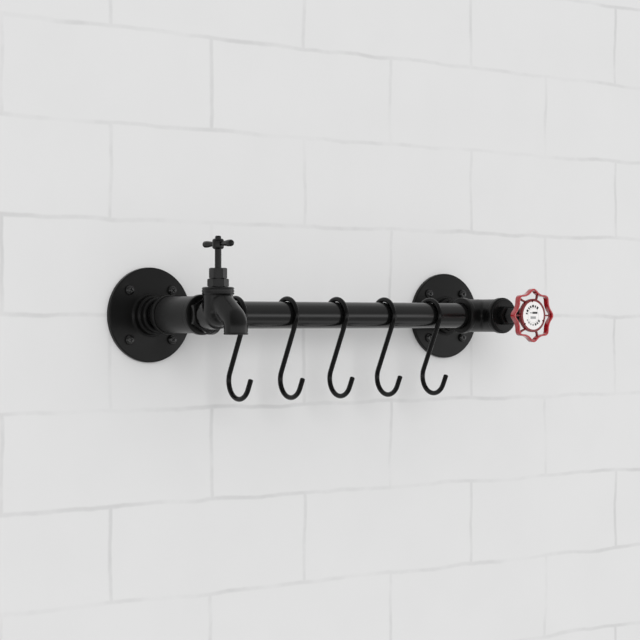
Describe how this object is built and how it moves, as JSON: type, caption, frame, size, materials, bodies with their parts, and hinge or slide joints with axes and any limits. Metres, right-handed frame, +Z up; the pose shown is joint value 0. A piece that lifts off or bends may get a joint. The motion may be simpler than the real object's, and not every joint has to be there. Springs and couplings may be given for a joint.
{
  "type": "hook rail",
  "caption": "Wall hook rail built from pipe fittings on two round flanges, with sliding S hooks, a bib tap and a lobed red handwheel.",
  "frame": {"origin": "on the wall plane, halfway between the centres of the two flanges", "axes": "+X along the rail to the right as seen from the room, +Y into the wall, +Z up"},
  "size_m": [0.4074, 0.1692, 0.1351],
  "materials": {
    "cast_black": "satin black paint over a fine cast texture",
    "pipe_black": "smooth satin black paint",
    "tap_black": "soft matt black powder coat",
    "spindle_black": "soft matt black powder coat",
    "screw_black": "black passivated steel",
    "hook_black": "satin black powder coat",
    "wheel_red": "glossy red enamel",
    "plate_white": null,
    "rubber": "moulded rubber",
    "packing": "greased braid",
    "brass": "turned brass",
    "zinc": "zinc plated"
  },
  "bodies": {
    "root": {"rail_pipe": "pipe_black", "left_flange": "cast_black", "left_wall_screws": "screw_black", "left_nipple": "pipe_black", "left_tee": "cast_black", "right_flange": "cast_black", "right_wall_screws": "screw_black", "right_nipple": "pipe_black", "right_tee": "cast_black", "tap_lock_nut": "tap_black", "tap_body": "tap_black", "tap_bonnet": "tap_black", "tap_packing": "packing", "tap_gland_nut": "tap_black", "valve_plug": "spindle_black", "valve_packing": "packing", "valve_gland_nut": "spindle_black"},
    "tap_jumper": {"tap_washer": "rubber", "tap_jumper": "brass"},
    "tap_spindle": {"tap_spindle": "tap_black", "tap_handle": "tap_black", "tap_cap_screw": "tap_black"},
    "handwheel": {"valve_spindle": "spindle_black", "handwheel": "wheel_red", "wheel_plate": "plate_white", "wheel_nut": "zinc"},
    "hook_1": {"hook_1": "hook_black"},
    "hook_2": {"hook_2": "hook_black"},
    "hook_3": {"hook_3": "hook_black"},
    "hook_4": {"hook_4": "hook_black"},
    "hook_5": {"hook_5": "hook_black"}
  },
  "joints": [
    {"name": "tap_lift", "type": "slide", "parent": "root", "child": "tap_jumper", "axis": [0, 0, 1], "range_m": [0, 0.0045]},
    {"name": "tap_turn", "type": "hinge", "parent": "tap_jumper", "child": "tap_spindle", "pos_m": [-0.1637, -0.1064, 0], "axis": [0, 0, 1], "range_deg": [0, 810]},
    {"name": "wheel_turn", "type": "hinge", "parent": "root", "child": "handwheel", "pos_m": [0.1637, -0.122, 0], "axis": [0, -1, 0], "continuous": true},
    {"name": "hook_1_slide", "type": "slide", "parent": "root", "child": "hook_1", "axis": [1, 0, 0], "range_m": [-0.019, 0.024]},
    {"name": "hook_2_slide", "type": "slide", "parent": "root", "child": "hook_2", "axis": [1, 0, 0], "range_m": [-0.024, 0.024]},
    {"name": "hook_3_slide", "type": "slide", "parent": "root", "child": "hook_3", "axis": [1, 0, 0], "range_m": [-0.024, 0.024]},
    {"name": "hook_4_slide", "type": "slide", "parent": "root", "child": "hook_4", "axis": [1, 0, 0], "range_m": [-0.024, 0.024]},
    {"name": "hook_5_slide", "type": "slide", "parent": "root", "child": "hook_5", "axis": [1, 0, 0], "range_m": [-0.024, 0.0325]}
  ],
  "couplings": [
    {"joint": "tap_turn", "follows": "tap_lift", "rad_per_m": 3141.6}
  ]
}
